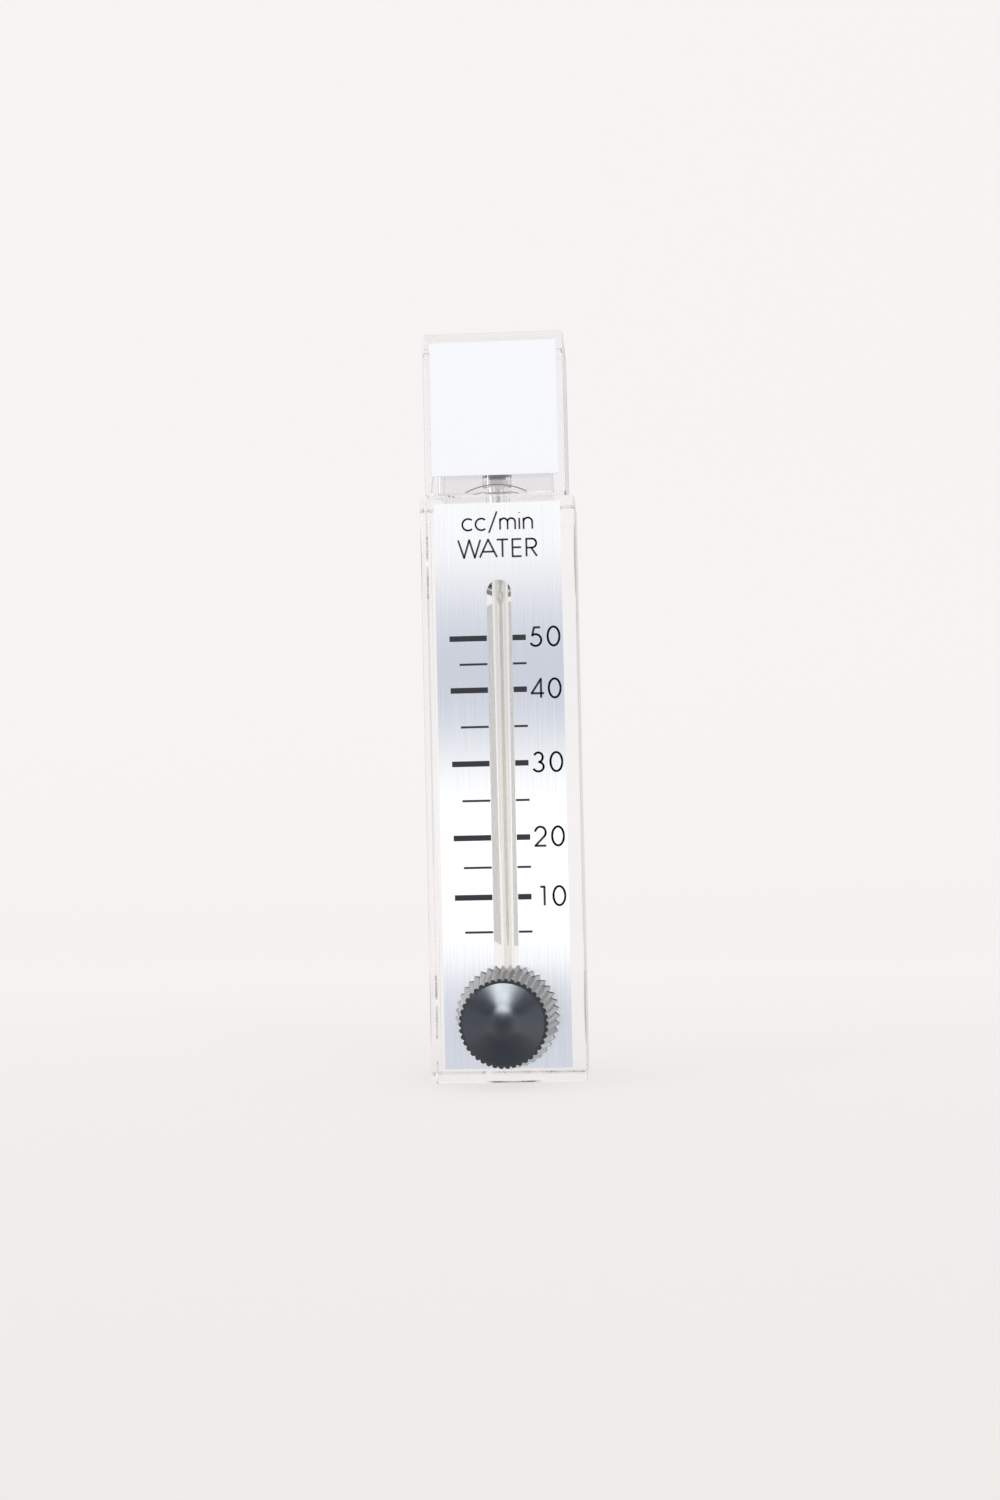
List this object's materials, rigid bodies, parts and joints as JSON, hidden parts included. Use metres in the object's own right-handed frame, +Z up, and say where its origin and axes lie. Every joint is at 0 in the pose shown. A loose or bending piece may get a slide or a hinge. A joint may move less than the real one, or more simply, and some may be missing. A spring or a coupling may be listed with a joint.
{
  "type": "rotameter",
  "caption": "Small panel flow meter: clear block with a tapered bore and ball float behind a slotted scale, slip cap, needle valve knob and rear threaded ports.",
  "frame": {"origin": "centre of the inlet port's rear mouth", "axes": "+Z up along the metering bore, +Y out of the back where the pipes leave, -Y the front with the scale and knob"},
  "size_m": [0.0254, 0.0346, 0.1224],
  "materials": {
    "clear_block": "polished clear moulded plastic",
    "clear_cap": "polished clear moulded plastic",
    "white_card": "smooth white card",
    "white_strip": "matte white plastic",
    "brushed_scale": "brushed along its length",
    "turned_steel": "fine turned finish",
    "plated_brass": "nickel plated, fine turned finish",
    "seal_rubber": "smooth dark rubber",
    "float_steel": "polished ball",
    "knob_plastic": "glossy black moulded plastic"
  },
  "bodies": {
    "meter": {"flow_body": "clear_block", "scale_plate": "brushed_scale", "backing_strip": "white_strip", "plug_ball_stop": "turned_steel", "plug_o_ring": "seal_rubber", "inlet_insert": "plated_brass", "inlet_o_ring": "seal_rubber", "outlet_insert": "plated_brass", "outlet_o_ring": "seal_rubber", "valve_seat": "plated_brass", "valve_bushing": "plated_brass", "bushing_o_ring": "seal_rubber"},
    "float": {"float_ball": "float_steel"},
    "cap": {"slip_cap": "clear_cap", "cap_label": "white_card"},
    "stem_carriage": {"stem_o_ring": "seal_rubber"},
    "valve": {"valve_stem": "turned_steel", "knob": "knob_plastic", "knob_insert": "plated_brass"}
  },
  "joints": [
    {"name": "float_rise", "type": "slide", "parent": "meter", "child": "float", "axis": [0, 0, 1], "range_m": [0, 0.0609]},
    {"name": "cap_lift", "type": "slide", "parent": "meter", "child": "cap", "axis": [0, 0, 1], "range_m": [0, 0.024]},
    {"name": "valve_travel", "type": "slide", "parent": "meter", "child": "stem_carriage", "axis": [0, -1, 0], "range_m": [0, 0.003]},
    {"name": "valve_turn", "type": "hinge", "parent": "stem_carriage", "child": "valve", "pos_m": [0, -0.0225, 0], "axis": [0, -1, 0], "range_deg": [0, 1350]}
  ],
  "couplings": [
    {"joint": "valve_turn", "follows": "valve_travel", "rad_per_m": 7853.9}
  ]
}
